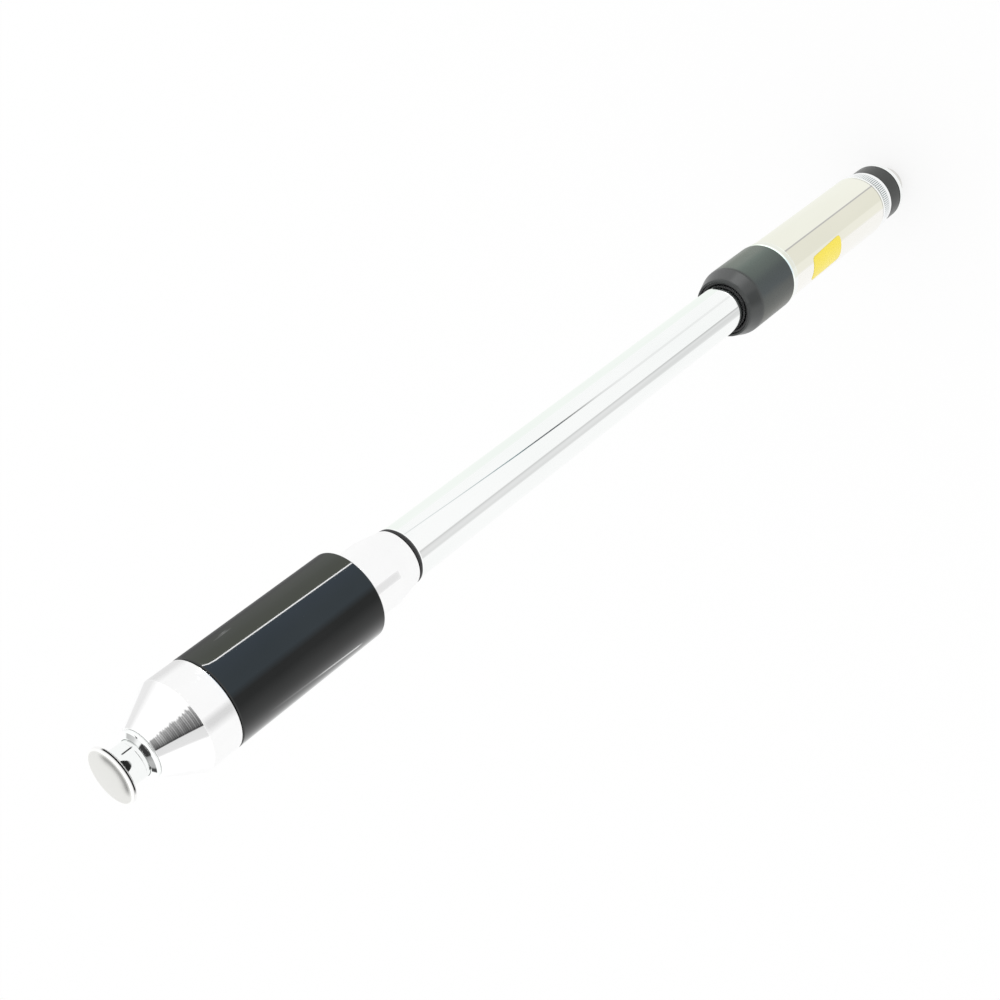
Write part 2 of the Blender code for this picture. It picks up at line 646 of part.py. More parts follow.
def finish():
    """Turn every solid into a plain mesh, shaded smooth and sharp at its edges."""
    bpy.context.view_layer.update()
    depsgraph = bpy.context.evaluated_depsgraph_get()
    for piece in collection(COLLECTION).objects:
        if piece.type == "MESH":
            mesh = bpy.data.meshes.new_from_object(piece.evaluated_get(depsgraph))
            mesh.shade_smooth()
            mesh.set_sharp_from_angle(angle=SHARP_ANGLE)
            piece.modifiers.clear()
            piece.data = mesh


def build():
    """Model the antenna from its plug up."""
    clear_scene()
    plug_shell()
    plug_inside()
    coupling_nut()
    base_end()
    base_barrel()
    collar()
    contact_ring()
    slide = moving_axis("slide_axis", slider_low)
    slide_tube(slide)
    ferrule(slide)
    coil(slide)
    sleeve(slide)
    cone_cap(slide)
    whip(slide)
    finish()


build()
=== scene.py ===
"""The looks of a telescopic antenna: finely turned pieces, their materials, the light and the camera."""

import json
import math
import random

import bmesh
import bpy
from mathutils import Matrix, Vector


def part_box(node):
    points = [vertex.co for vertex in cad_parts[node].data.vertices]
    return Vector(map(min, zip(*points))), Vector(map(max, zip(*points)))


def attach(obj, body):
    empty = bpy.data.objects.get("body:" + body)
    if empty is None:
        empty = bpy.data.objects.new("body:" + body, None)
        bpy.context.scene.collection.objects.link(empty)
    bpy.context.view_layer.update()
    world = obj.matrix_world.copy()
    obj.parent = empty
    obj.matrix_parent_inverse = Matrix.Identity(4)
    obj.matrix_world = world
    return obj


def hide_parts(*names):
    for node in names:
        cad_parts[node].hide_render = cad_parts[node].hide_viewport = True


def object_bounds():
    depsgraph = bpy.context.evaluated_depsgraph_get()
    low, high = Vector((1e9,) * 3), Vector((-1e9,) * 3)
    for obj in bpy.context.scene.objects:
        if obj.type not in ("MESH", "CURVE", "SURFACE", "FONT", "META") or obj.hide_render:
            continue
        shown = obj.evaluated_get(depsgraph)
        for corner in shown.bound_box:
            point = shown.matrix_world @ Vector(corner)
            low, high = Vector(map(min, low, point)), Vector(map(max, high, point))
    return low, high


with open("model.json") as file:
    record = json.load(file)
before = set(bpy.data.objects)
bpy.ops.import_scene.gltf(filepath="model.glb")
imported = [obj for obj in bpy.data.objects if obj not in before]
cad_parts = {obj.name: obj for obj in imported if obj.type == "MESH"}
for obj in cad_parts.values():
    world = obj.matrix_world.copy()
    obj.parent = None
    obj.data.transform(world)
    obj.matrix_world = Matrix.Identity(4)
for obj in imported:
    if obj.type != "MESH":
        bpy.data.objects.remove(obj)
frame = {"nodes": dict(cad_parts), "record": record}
cad_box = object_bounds()

record = frame["record"]
slot_of = {row["node"]: row["material_slot"] for row in record["subparts"]}
body_with = {node: body for body, nodes in record["behaviour"]["bodies"].items() for node in nodes}

# Meshes
SEGMENTS = 144               # round a full turn of a large piece
SMALL_SEGMENTS = 96
FILLET_STEPS = 4
FLAT = 0.00002               # how far off the half plane a profile's corner may be
WELD = 0.0000005             # corners closer than this are one
CREASE = math.radians(30)    # sharper edges of a toothed piece stay crisp

# Edges
SHARP_FILLET = 0.00012
SOFT_FILLET = 0.0004
COLLAR_BEND = 0.008             # fillet between the collar's cylinder and cone
SLIGHT_BEND = math.radians(25)  # a corner that turns less may have a fillet of its own
STRAIGHT = math.radians(4)      # a corner that turns less has none
SIDE_SHARE = 0.45               # of a side, the most that one fillet takes

WHIP_SECTIONS = 7

# The whip collar's foot is this much lower than its solid's, which stands off from the cone
WHIP_COLLAR_FOOT = 0.00026

# Turning grooves on the aluminium pieces
GROOVE_PITCH = 0.00072
GROOVE_DEPTH = 0.000012
GROOVE_SHALLOWEST = 0.35     # of that depth
GROOVE_POINTS = 4
GROOVES_LEAST = 3            # a stretch with room for fewer has none
CONE_GROOVE_SEED = 3
FERRULE_GROOVE_SEED = 5

# Knurled base and coupling nut; a land is the share of a tooth that is flat on top
KNURL_TEETH = 90
KNURL_DEPTH = 0.0004
KNURL_LAND = 1 / 3
KNURL_SEGMENTS = 6
KNURL_DULL = 0.00018         # to either side of the root of its teeth, where the metal is duller and painted darker: painted shade of the grooves, and dirt
GRIP_TEETH = 24
GRIP_DEPTH = 0.0005
GRIP_LAND = 0.5
GRIP_SEGMENTS = 12
THREAD_PITCH = 0.00106
THREAD_DEPTH = 0.00045
THREAD_POINTS = 8            # along the bore, for each turn
THREAD_RUNOUT = 0.0018       # plain bore above the thread

# Notches in the plug's shoulder
NOTCHES = 4
NOTCH_WIDTH = 0.0016
NOTCH_DEPTH = 0.0008
NOTCH_SEGMENTS = 288

# Sticker on the base tube; angles are measured round the axis from the camera's side
STICKER_BELOW_TOP = 0.0154
STICKER_LENGTH = 0.0265
STICKER_START = math.radians(20)
STICKER_END = math.radians(67)
STICKER_LEAN = math.radians(5)    # that its upper end is turned further round
STICKER_CORNER = 0.0020
STICKER_THICKNESS = 0.00012
STICKER_ROWS = 36
STICKER_COLUMNS = 32

# Camera; the frame is square, and heights are taken from the top of the coil's sleeve
FOCAL_LENGTH_MM = 55.0
SENSOR_MM = 36.0
CAMERA_BACK = 0.45484
CAMERA_ABOVE_SLEEVE = 0.21812
AIM_BELOW_SLEEVE = 0.1480
AIM_ASIDE = -0.0063
CAMERA_ROLL = math.radians(-127.892)
CLIP_START = 0.01
sleeve_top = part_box("coil_sleeve")[1].z
camera_place = Vector((0.0, -CAMERA_BACK, sleeve_top + CAMERA_ABOVE_SLEEVE))
camera_aim = Vector((AIM_ASIDE, 0.0, sleeve_top - AIM_BELOW_SLEEVE))

# Grain of the materials: features in a metre, on each axis
DRAWN = (2600, 2600, 40)
RINGS = (30, 30, 5200)
EVEN = (700, 700, 700)
EVEN_RELIEF = 0.000002       # metres
METAL_CLOUDS = (60, 60, 14)
PLASTIC_CLOUDS = (45, 45, 25)
BRUSHED = 0.8                # how much turned aluminium stretches its reflections
ALONG_AXIS = 0.25            # of a turn, the direction of that stretch

# The button's polished rim
RIM_WIDTH = 0.0009
RIM_FADE = 0.0003

# Room and floor
ROOM_WHITE = 1.07
FLOOR_WHITE = (0.93, 0.93, 0.93)
FLOOR_GAP = 0.0006
FLOOR_HALF = 6.0
FLOOR_SHARE = 0.75           # of plain white in what the camera sees of the floor

# Cards that the polished pieces reflect; a reach is the way from a piece to its card
CARD_REACH = 0.005
STREAK_REACH = 0.0045        # in front of the sleeve's other card
CONE_REACH = 0.0008
RIM_REACH = 0.0015
MOUTH_REACH = 0.001
SIDE_REACH = 0.0006
CARD_STEP = 6.0              # degrees, the widest column of a card
CARD_ROWS = 6                # between two rows of stops
DOME_ROWS = 3                # the same on the button's dome
BUTTON_SLANT = 0.13          # of the dome at its edge
MOUTH_SHARE = 0.85           # of the collar's slope that shows the card
RING_HALF = 0.0013           # of the front ring's height that shows the card
CONE_RINGS = 50
CONE_SEED = 4


# Profiles

def profile(node):
    """A turned node's outline in order, as (radius, height), and whether it closes round a bore."""
    mesh = frame["nodes"][node].data
    corner_of = {}
    for vert in mesh.vertices:
        if abs(vert.co.y) < FLAT and vert.co.x > -FLAT:
            corner_of[vert.index] = (round(abs(vert.co.x), 6), round(vert.co.z, 6))
    beside = {}
    for edge in mesh.edges:
        first, second = (corner_of.get(index) for index in edge.vertices)
        if first and second and first != second:
            beside.setdefault(first, set()).add(second)
            beside.setdefault(second, set()).add(first)
    ends = sorted(corner for corner in beside if len(beside[corner]) == 1)
    closed = not ends
    here = max(beside, key=lambda c: (c[1], c[0])) if closed else max(ends, key=lambda c: c[1])
    outline = []
    while here is not None:
        outline.append(here)
        ahead = sorted(corner for corner in beside[here] if corner not in outline)
        here = max(ahead, key=lambda c: c[0]) if ahead else None
    return outline, closed


def stretch(node, low, high):
    """The ends of a straight part of a turned node's outer side, cut to lie between two heights."""
    outline = profile(node)[0]
    middle = (low + high) / 2
    best = None
    for i, (radius, bottom) in enumerate(outline):
        further, top = outline[(i + 1) % len(outline)]
        if abs(top - bottom) < FLAT or not min(bottom, top) <= middle <= max(bottom, top):
            continue
        ends = []
        for height in (low, high):
            cut = min(max(height, min(bottom, top)), max(bottom, top))
            ends.append(Vector((radius + (further - radius) * (cut - bottom) / (top - bottom), cut)))
        if best is None or ends[0].x + ends[1].x > best[0].x + best[1].x:
            best = ends
    return best


def widest_side(node):
    """The lower and upper end of a turned node's side where it is widest."""
    outline = profile(node)[0]
    widest = max(radius for radius, height in outline)
    return sorted((Vector(corner) for corner in outline if corner[0] == widest), key=lambda end: end.y)


def knurl():
    """The radius of the base's knurl at its crests, and its lower and upper end."""
    outline = profile("knurled_base")[0]
    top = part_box("knurled_base")[1].z
    rim = max(radius for radius, height in outline)
    sides = [(radius, height, outline[i - 1][1]) for i, (radius, height) in enumerate(outline)
             if outline[i - 1][0] == radius and height < top]
    return max(side for side in sides if side[0] < rim)


def rounded(outline, closed, fillet, bend=None):
    """The outline with a fillet at each corner off the axis, no larger than its sides allow. A slight bend
    may have a fillet of its own."""
    points = []
    count = len(outline)
    for i, corner in enumerate(outline):
        here = Vector(corner)
        if not closed and i in (0, count - 1):
            points.append(here)
            continue
        before = Vector(outline[i - 1]) - here
        after = Vector(outline[(i + 1) % count]) - here
        turn = math.pi - before.angle(after)
        if turn < STRAIGHT:
            points.append(here)
            continue
        size = bend if bend and turn < SLIGHT_BEND else fillet
        reach = min(size * math.tan(turn / 2), SIDE_SHARE * before.length, SIDE_SHARE * after.length)
        start = here + before.normalized() * reach
        end = here + after.normalized() * reach
        for k in range(FILLET_STEPS + 1):
            t = k / FILLET_STEPS
            points.append(start * (1 - t) ** 2 + here * (2 * t * (1 - t)) + end * t ** 2)
    return points


def grooved(points, low, high, seed):
    """Fine turning grooves in the straight stretches of the outer side between two heights."""
    chance = random.Random(seed)
    made = []
    for i, here in enumerate(points):
        made.append(here)
        ahead = points[(i + 1) % len(points)]
        run = ahead - here
        inside = all(low <= point.y <= high for point in (here, ahead))
        if not inside or run.length < GROOVES_LEAST * GROOVE_PITCH or run.y >= 0:
            continue
        inward = Vector((run.y, -run.x)).normalized()
        count = GROOVE_POINTS * round(run.length / GROOVE_PITCH)
        depth = 0.0
        for k in range(1, count):
            if k % GROOVE_POINTS == 1:
                depth = GROOVE_DEPTH * chance.uniform(GROOVE_SHALLOWEST, 1.0)
            wave = 0.5 - 0.5 * math.cos(math.tau * k / GROOVE_POINTS)
            made.append(here + run * (k / count) + inward * depth * wave)
    return made


def divided(points, radius, step):
    """The outline with more points along its upright stretches at that radius."""
    made = []
    for i, here in enumerate(points):
        made.append(here)
        ahead = points[(i + 1) % len(points)]
        if abs(here.x - radius) < FLAT and abs(ahead.x - radius) < FLAT:
            count = max(1, round((ahead - here).length / step))
            made += [here + (ahead - here) * (k / count) for k in range(1, count)]
    return made


def add_object(name, data):
    """An object of that data, in the scene."""
    made = bpy.data.objects.new(name, data)
    bpy.context.scene.collection.objects.link(made)
    return made


def lathe(name, points, closed, segments, shape=None):
    """A solid of revolution; shape, if given, gives the radius and height of a point at an angle."""
    build = bmesh.new()
    rings = []
    for i in range(segments):
        angle = math.tau * i / segments
        ring = []
        for point in points:
            radius, height = shape(angle, point.x, point.y) if shape else point
            ring.append(build.verts.new((radius * math.cos(angle), radius * math.sin(angle), height)))
        rings.append(ring)
    steps = len(points) if closed else len(points) - 1
    for i, ring in enumerate(rings):
        beside = rings[(i + 1) % segments]
        for j in range(steps):
            k = (j + 1) % len(points)
            build.faces.new((ring[j], ring[k], beside[k], beside[j]))
    bmesh.ops.remove_doubles(build, verts=build.verts, dist=WELD)
    bmesh.ops.recalc_face_normals(build, faces=build.faces)
    mesh = bpy.data.meshes.new(name)
    build.to_mesh(mesh)
    build.free()
    mesh.shade_smooth()
    if shape:
        mesh.set_sharp_from_angle(angle=CREASE)
    piece = add_object(name, mesh)
    normals = piece.modifiers.new("Even shading", "WEIGHTED_NORMAL")
    normals.keep_sharp = True
    return piece


def stands_for(piece, node, paint=None):
    """The piece replaces a CAD node, rides on its body and takes its slot's material, or its own."""
    slot = slot_of[node]
    piece.data.materials.append(PAINTS[paint or slot]())
    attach(piece, body_with[node])
    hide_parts(node)


# Materials

def start_material(name, colour, roughness, metallic):
    """A Principled material with its plain values, and its node tree."""
    made = bpy.data.materials.new(name)
    made.use_nodes = True
    tree = made.node_tree
    shader = tree.nodes["Principled BSDF"]
    shader.inputs["Base Color"].default_value = (*colour, 1.0)
    shader.inputs["Roughness"].default_value = roughness
    shader.inputs["Metallic"].default_value = metallic
    return made, tree, shader


def noise(tree, grain, detail=3.0, roughness=0.55):
    """Noise in the piece's own coordinates; grain is its features in a metre, on each axis."""
    place = tree.nodes.new("ShaderNodeTexCoord")
    mapping = tree.nodes.new("ShaderNodeMapping")
    mapping.inputs["Scale"].default_value = grain
    texture = tree.nodes.new("ShaderNodeTexNoise")
    texture.inputs["Scale"].default_value = 1.0
    texture.inputs["Detail"].default_value = detail
    texture.inputs["Roughness"].default_value = roughness
    tree.links.new(place.outputs["Object"], mapping.inputs["Vector"])
    tree.links.new(mapping.outputs["Vector"], texture.inputs["Vector"])
    return texture.outputs["Fac"]


def spread(tree, value, low, high, start=0.3, end=0.7):
    """A value brought from start and end to low and high."""
    ramp = tree.nodes.new("ShaderNodeMapRange")
    ramp.inputs["From Min"].default_value = start
    ramp.inputs["From Max"].default_value = end
    ramp.inputs["To Min"].default_value = low
    ramp.inputs["To Max"].default_value = high
    tree.links.new(value, ramp.inputs["Value"])
    return ramp.outputs["Result"]


def tint(tree, value, dark, light):
    """Two colours mixed by a value."""
    mix = tree.nodes.new("ShaderNodeMix")
    mix.data_type = "RGBA"
    mix.inputs["A"].default_value = (*dark, 1.0)
    mix.inputs["B"].default_value = (*light, 1.0)
    tree.links.new(value, mix.inputs["Factor"])
    return mix.outputs["Result"]


def bump(tree, shader, value, distance):
    """Relief of that depth in metres."""
    relief = tree.nodes.new("ShaderNodeBump")
    relief.inputs["Distance"].default_value = distance
    tree.links.new(value, relief.inputs["Height"])
    tree.links.new(relief.outputs["Normal"], shader.inputs["Normal"])


def metal(name, dark, light, smooth, rough, grain, relief, brushed=0.0):
    """Metal with fine lines and faint clouds. Brushed metal stretches its reflections along the axis,
    across the marks that turning leaves."""
    made, tree, shader = start_material(name, light, smooth, metallic=1.0)
    lines = noise(tree, grain)
    clouds = noise(tree, METAL_CLOUDS, detail=2.0)
    tree.links.new(tint(tree, spread(tree, clouds, 0, 1), dark, light), shader.inputs["Base Color"])
    tree.links.new(spread(tree, lines, smooth, rough), shader.inputs["Roughness"])
    bump(tree, shader, lines, relief)
    if brushed:
        shader.inputs["Anisotropic"].default_value = brushed
        shader.inputs["Anisotropic Rotation"].default_value = ALONG_AXIS
    return made


def distance_from_axis(tree):
    """How far a point is from the antenna's axis."""
    place = tree.nodes.new("ShaderNodeTexCoord")
    flat = tree.nodes.new("ShaderNodeVectorMath")
    flat.operation = "MULTIPLY"
    flat.inputs[1].default_value = (1, 1, 0)
    length = tree.nodes.new("ShaderNodeVectorMath")
    length.operation = "LENGTH"
    tree.links.new(place.outputs["Object"], flat.inputs[0])
    tree.links.new(flat.outputs["Vector"], length.inputs[0])
    return length.outputs["Value"]


def knurled_metal(name, dark, light):
    """Metal that is duller at the root of the knurl's teeth, and darker there: painted shade of the grooves,
    and dirt.
    """
    made, tree, shader = start_material(name, light, roughness=0.2, metallic=1.0)
    near = tree.nodes.new("ShaderNodeMath")
    near.operation = "COMPARE"
    near.inputs[1].default_value = knurl()[0] - KNURL_DEPTH
    near.inputs[2].default_value = KNURL_DULL
    tree.links.new(distance_from_axis(tree), near.inputs[0])
    root_shade_and_dirt = near.outputs["Value"]
    # The darker colour at the roots is painted shade of the grooves, and dirt
    tree.links.new(tint(tree, root_shade_and_dirt, light, dark), shader.inputs["Base Color"])
    tree.links.new(spread(tree, root_shade_and_dirt, low=0.16, high=0.4, start=0, end=1), shader.inputs["Roughness"])
    bump(tree, shader, noise(tree, EVEN), EVEN_RELIEF)
    return made


def satin_with_rim(name, satin, polished):
    """Satin metal, polished on the button's rim."""
    made, tree, shader = start_material(name, satin, roughness=0.3, metallic=1.0)
    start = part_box("tip_button")[1].x - RIM_WIDTH
    rim = spread(tree, distance_from_axis(tree), low=0, high=1, start=start, end=start + RIM_FADE)
    tree.links.new(tint(tree, rim, satin, polished), shader.inputs["Base Color"])
    tree.links.new(spread(tree, rim, low=0.32, high=0.08, start=0, end=1), shader.inputs["Roughness"])
    bump(tree, shader, noise(tree, EVEN), EVEN_RELIEF)
    return made


def plastic(name, dark, light, smooth, rough, grain, relief):
    """Plastic with faint clouds of colour, uneven gloss and a moulded grain."""
    made, tree, shader = start_material(name, light, smooth, metallic=0.0)
    clouds = noise(tree, PLASTIC_CLOUDS, detail=4.0)
    tree.links.new(tint(tree, spread(tree, clouds, 0, 1), dark, light), shader.inputs["Base Color"])
    fine = noise(tree, (grain, grain, grain))
    tree.links.new(spread(tree, fine, smooth, rough), shader.inputs["Roughness"])
    bump(tree, shader, fine, relief)
    return made


def once(maker, *values):
    """A maker that makes its material once, of those values."""
    kept = []

    def made():
        if not kept:
            kept.append(maker(*values))
        return kept[0]
    return made


# Each material's name and maker, and what the maker takes
MATERIALS = (
    ("chrome", metal, (0.92, 0.94, 0.93), (0.96, 0.97, 0.965), 0.05, 0.10, DRAWN, 0.000001),
    ("warm_chrome", metal, (0.92, 0.91, 0.86), (0.955, 0.94, 0.90), 0.06, 0.11, DRAWN, 0.000001),
    ("nickel", metal, (0.70, 0.69, 0.66), (0.80, 0.79, 0.76), 0.14, 0.24, RINGS, 0.000002),
    ("aluminium", metal, (0.96, 0.96, 0.96), (0.99, 0.99, 0.99), 0.16, 0.24, RINGS, 0.000003, BRUSHED),
    ("brass", metal, (0.70, 0.50, 0.20), (0.80, 0.62, 0.30), 0.22, 0.36, RINGS, 0.000003),
    ("copper", metal, (0.62, 0.28, 0.13), (0.76, 0.38, 0.20), 0.20, 0.32, DRAWN, 0.000002),
    # The knurl's dark colour is painted shade at the roots of its teeth, and dirt
    ("knurled", knurled_metal, (0.40, 0.46, 0.46), (0.98, 0.99, 0.99)),
    ("satin_aluminium", satin_with_rim, (0.745, 0.745, 0.72), (0.93, 0.93, 0.92)),
    ("gloss_sleeve", plastic, (0.009, 0.010, 0.010), (0.014, 0.015, 0.015), 0.06, 0.12, 900, 0.0000006),
    ("black_plastic", plastic, (0.030, 0.033, 0.033), (0.042, 0.046, 0.045), 0.26, 0.34, 2600, 0.000003),
    ("base_plastic", plastic, (0.012, 0.015, 0.013), (0.020, 0.023, 0.021), 0.28, 0.36, 2600, 0.000003),
    ("black_rubber", plastic, (0.008, 0.008, 0.009), (0.013, 0.013, 0.014), 0.16, 0.26, 2000, 0.000002),
    ("white_plastic", plastic, (0.72, 0.71, 0.66), (0.80, 0.79, 0.75), 0.38, 0.50, 2000, 0.000002),
    ("yellow_film", plastic, (0.90, 0.72, 0.05), (0.94, 0.79, 0.09), 0.22, 0.34, 1500, 0.000002),
)
PAINTS = {name: once(maker, name, *values) for name, maker, *values in MATERIALS}


# Pieces

def smooth_turned(node, fillet, segments=SEGMENTS, foot=0.0, bend=None, paint=None):
    """A turned node made fine, with broken edges; its lowest face may go down to meet the piece below."""
    outline, closed = profile(node)
    low = min(height for radius, height in outline)
    outline = [(radius, height - foot if height == low else height) for radius, height in outline]
    piece = lathe(node + "_fine", rounded(outline, closed, fillet, bend), closed, segments)
    stands_for(piece, node, paint)


def groove_turned(node, low, high, seed):
    """An aluminium node with turning grooves between two heights."""
    outline, closed = profile(node)
    points = grooved(rounded(outline, closed, SHARP_FILLET), low, high, seed)
    stands_for(lathe(node + "_fine", points, closed, SEGMENTS), node)


def tooth_gap(angle, teeth, land):
    """0 on a tooth's land and 1 at the root beside it."""
    share = abs(2 * (angle * teeth / math.tau % 1) - 1)
    return max(0.0, (share - land) / (1 - land))


def make_knurled_base():
    """The base's straight knurl, with fine sharp teeth between plain rims."""
    outline, closed = profile("knurled_base")
    crest, low, high = knurl()

    def shape(angle, radius, height):
        if low <= height <= high:
            radius = min(radius, crest - KNURL_DEPTH * tooth_gap(angle, KNURL_TEETH, KNURL_LAND))
        return radius, height
    points = rounded(outline, closed, SHARP_FILLET)
    piece = lathe("knurled_base_fine", points, closed, KNURL_TEETH * KNURL_SEGMENTS, shape)
    stands_for(piece, "knurled_base", "knurled")


def make_coupling_nut():
    """The nut with its toothed grip above and its screw thread inside."""
    outline, closed = profile("coupling_nut")
    crest = max(radius for radius, height in outline)
    low, high = sorted(height for radius, height in outline if radius == crest)[-2:]
    inner = [(radius, height) for radius, height in outline if radius < crest - 2 * GRIP_DEPTH]
    bore, bore_top = max(inner)
    thread_low = min(height for radius, height in outline)
    thread_top = bore_top - THREAD_RUNOUT

    def shape(angle, radius, height):
        if low <= height <= high and radius > bore + GRIP_DEPTH:
            radius = min(radius, crest - GRIP_DEPTH * tooth_gap(angle, GRIP_TEETH, GRIP_LAND))
        if abs(radius - bore) < FLAT and thread_low < height < thread_top:
            turn = height / THREAD_PITCH - angle / math.tau
            radius += THREAD_DEPTH * (1 - abs(2 * (turn % 1) - 1))
        return radius, height
    points = divided(rounded(outline, closed, SHARP_FILLET), bore, THREAD_PITCH / THREAD_POINTS)
    piece = lathe("coupling_nut_fine", points, closed, GRIP_TEETH * GRIP_SEGMENTS, shape)
    stands_for(piece, "coupling_nut")


def make_plug_shell():
    """The plug's shell, with notches in its shoulder's lower face that a socket's teeth go into."""
    outline, closed = profile("plug_shell")
    nose = sorted({radius for radius, height in outline})[1]

    def shape(angle, radius, height):
        aside = (angle * NOTCHES / math.tau % 1 - 0.5) * math.tau / NOTCHES * radius
        if radius > nose + FLAT and abs(aside) < NOTCH_WIDTH / 2:
            height = max(height, NOTCH_DEPTH)
        return radius, height
    points = rounded(outline, closed, SHARP_FILLET)
    stands_for(lathe("plug_shell_fine", points, closed, NOTCH_SEGMENTS, shape), "plug_shell")


def make_sticker():
    """A thin film with round corners on the base tube."""
    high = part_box("base_tube")[1].z - STICKER_BELOW_TOP
    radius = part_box("base_tube")[1].x + STICKER_THICKNESS
    build = bmesh.new()
    rows = []
    for i in range(STICKER_ROWS + 1):
        down = STICKER_LENGTH * (0.5 - 0.5 * math.cos(math.pi * i / STICKER_ROWS))
        from_end = min(down, STICKER_LENGTH - down, STICKER_CORNER)
        inset = STICKER_CORNER - math.sqrt(STICKER_CORNER ** 2 - (STICKER_CORNER - from_end) ** 2)
        lean = STICKER_LEAN * (1 - down / STICKER_LENGTH)
        start = STICKER_START + lean + inset / radius
        end = STICKER_END + lean - inset / radius
        row = []
        for j in range(STICKER_COLUMNS + 1):
            out = outward(math.degrees(start + (end - start) * j / STICKER_COLUMNS))
            row.append(build.verts.new(out * radius + Vector((0, 0, high - down))))
        rows.append(row)
    for above, below in zip(rows, rows[1:]):
        for j in range(STICKER_COLUMNS):
            build.faces.new((above[j], above[j + 1], below[j + 1], below[j]))
    mesh = bpy.data.meshes.new("sticker")
    build.to_mesh(mesh)
    build.free()
    mesh.shade_smooth()
    sticker = add_object("sticker", mesh)
    skin = sticker.modifiers.new("Thickness", "SOLIDIFY")
    skin.thickness = STICKER_THICKNESS
    mesh.materials.append(PAINTS["yellow_film"]())
    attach(sticker, body_with["base_tube"])


def make_pieces():
    """Every visible piece, from the button down to the plug."""
    for node in ("coil_sleeve", "joint_washer"):
        smooth_turned(node, SOFT_FILLET)
    smooth_turned("base_insulator", SOFT_FILLET, paint="base_plastic")
    smooth_turned("collar", SOFT_FILLET, bend=COLLAR_BEND)
    for node in ("tip_button", "slider_tube", "wiper_ring", "front_ring", "base_tube", "end_ring"):
        smooth_turned(node, SHARP_FILLET)
    smooth_turned("whip_collar", SHARP_FILLET, foot=WHIP_COLLAR_FOOT)
    for index in range(1, WHIP_SECTIONS + 1):
        smooth_turned(f"whip_section_{index}", SHARP_FILLET, SMALL_SEGMENTS)
    for node in ("plug_insulator", "centre_pin"):
        smooth_turned(node, SHARP_FILLET, SMALL_SEGMENTS)
    groove_turned("cone_cap", sleeve_top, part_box("cone_cap")[1].z, CONE_GROOVE_SEED)
    groove_turned("ferrule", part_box("joint_washer")[1].z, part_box("coil_sleeve")[0].z, FERRULE_GROOVE_SEED)
    make_knurled_base()
    make_coupling_nut()
    make_plug_shell()
    make_sticker()


def dress_frame():
    """Give each CAD node that is still shown its material."""
    for name, node in frame["nodes"].items():
        if not node.hide_render:
            node.data.materials.clear()
            node.data.materials.append(PAINTS[slot_of[name]]())


# Stage

def outward(degrees):
    """The direction straight out of the axis, that many degrees round it from the camera's side."""
    angle = -math.pi / 2 - math.radians(degrees)
    return Vector((math.cos(angle), math.sin(angle), 0))


def light_of(tree, colour):
    """A shader that sends out light of a colour."""
    shader = tree.nodes.new("ShaderNodeEmission")
    shader.inputs["Color"].default_value = (*colour, 1.0)
    shader.inputs["Strength"].default_value = 1.0
    return shader


def mixed(tree, share, first, second):
    """Two shaders mixed by a share, which becomes the surface of the material."""
    mix = tree.nodes.new("ShaderNodeMixShader")
    tree.links.new(share, mix.inputs["Fac"])
    tree.links.new(first, mix.inputs[1])
    tree.links.new(second, mix.inputs[2])
    tree.links.new(mix.outputs["Shader"], tree.nodes["Material Output"].inputs["Surface"])
    return mix.outputs["Shader"]


def seen_directly(tree):
    """1 for rays from the camera, and for those that a mirror or a glass passes on."""
    path = tree.nodes.new("ShaderNodeLightPath")
    total = path.outputs["Is Camera Ray"]
    for name in ("Is Glossy Ray", "Is Transmission Ray"):
        higher = tree.nodes.new("ShaderNodeMath")
        higher.operation = "MAXIMUM"
        tree.links.new(total, higher.inputs[0])
        tree.links.new(path.outputs[name], higher.inputs[1])
        total = higher.outputs["Value"]
    return total


def make_floor():
    """A plain white floor, just under the plug; it keeps a faint shadow, and is clear from underneath."""
    height = cad_box[0].z - FLOOR_GAP
    mesh = bpy.data.meshes.new("floor")
    corners = [(x * FLOOR_HALF, y * FLOOR_HALF, height) for x, y in ((-1, -1), (1, -1), (1, 1), (-1, 1))]
    mesh.from_pydata(corners, [], [(0, 1, 2, 3)])
    floor = add_object("floor", mesh)
    made, tree, shader = start_material("floor_white", FLOOR_WHITE, roughness=0.9, metallic=0.0)
    white = light_of(tree, (1, 1, 1)).outputs["Emission"]
    share = tree.nodes.new("ShaderNodeMath")
    share.operation = "MULTIPLY"
    share.inputs[1].default_value = FLOOR_SHARE
    tree.links.new(seen_directly(tree), share.inputs[0])
    above = mixed(tree, share.outputs["Value"], shader.outputs["BSDF"], white)
    side = tree.nodes.new("ShaderNodeNewGeometry").outputs["Backfacing"]
    mixed(tree, side, above, tree.nodes.new("ShaderNodeBsdfTransparent").outputs["BSDF"])
    mesh.materials.append(made)


def make_world():
    """A plain white room."""
    world = bpy.data.worlds.new("white_room")
    world.use_nodes = True
    bpy.context.scene.world = world
    background = world.node_tree.nodes["Background"]
    background.inputs["Color"].default_value = (1, 1, 1, 1)
    background.inputs["Strength"].default_value = ROOM_WHITE


def make_camera():
    """The photograph's camera, fitted to the outlines of the sleeve, tube and base."""
    camera = bpy.data.cameras.new("camera")
    camera.lens = FOCAL_LENGTH_MM
    camera.sensor_width = SENSOR_MM
    camera.clip_start = CLIP_START
    holder = add_object("camera", camera)
    look = camera_aim - camera_place
    turn = look.to_track_quat("-Z", "Y").to_matrix().to_4x4() @ Matrix.Rotation(CAMERA_ROLL, 4, "Z")
    holder.matrix_world = Matrix.Translation(camera_place) @ turn
    bpy.context.scene.camera = holder


# Reflections, on cards that stand where a stretch of a turned piece mirrors them to the camera

def stripe(start, end, tone, density=1.0, before=0.5, after=0.5):
    """Stops of one stripe: (degrees round the axis, tone, density). Its edges fade over some degrees."""
    return [(start - before, tone, 0.0), (start, tone, density),
            (end, tone, density), (end + after, tone, 0.0)]


def colour_of(tone):
    """A tone's red, green and blue."""
    return (tone, tone, tone) if isinstance(tone, (int, float)) else tone


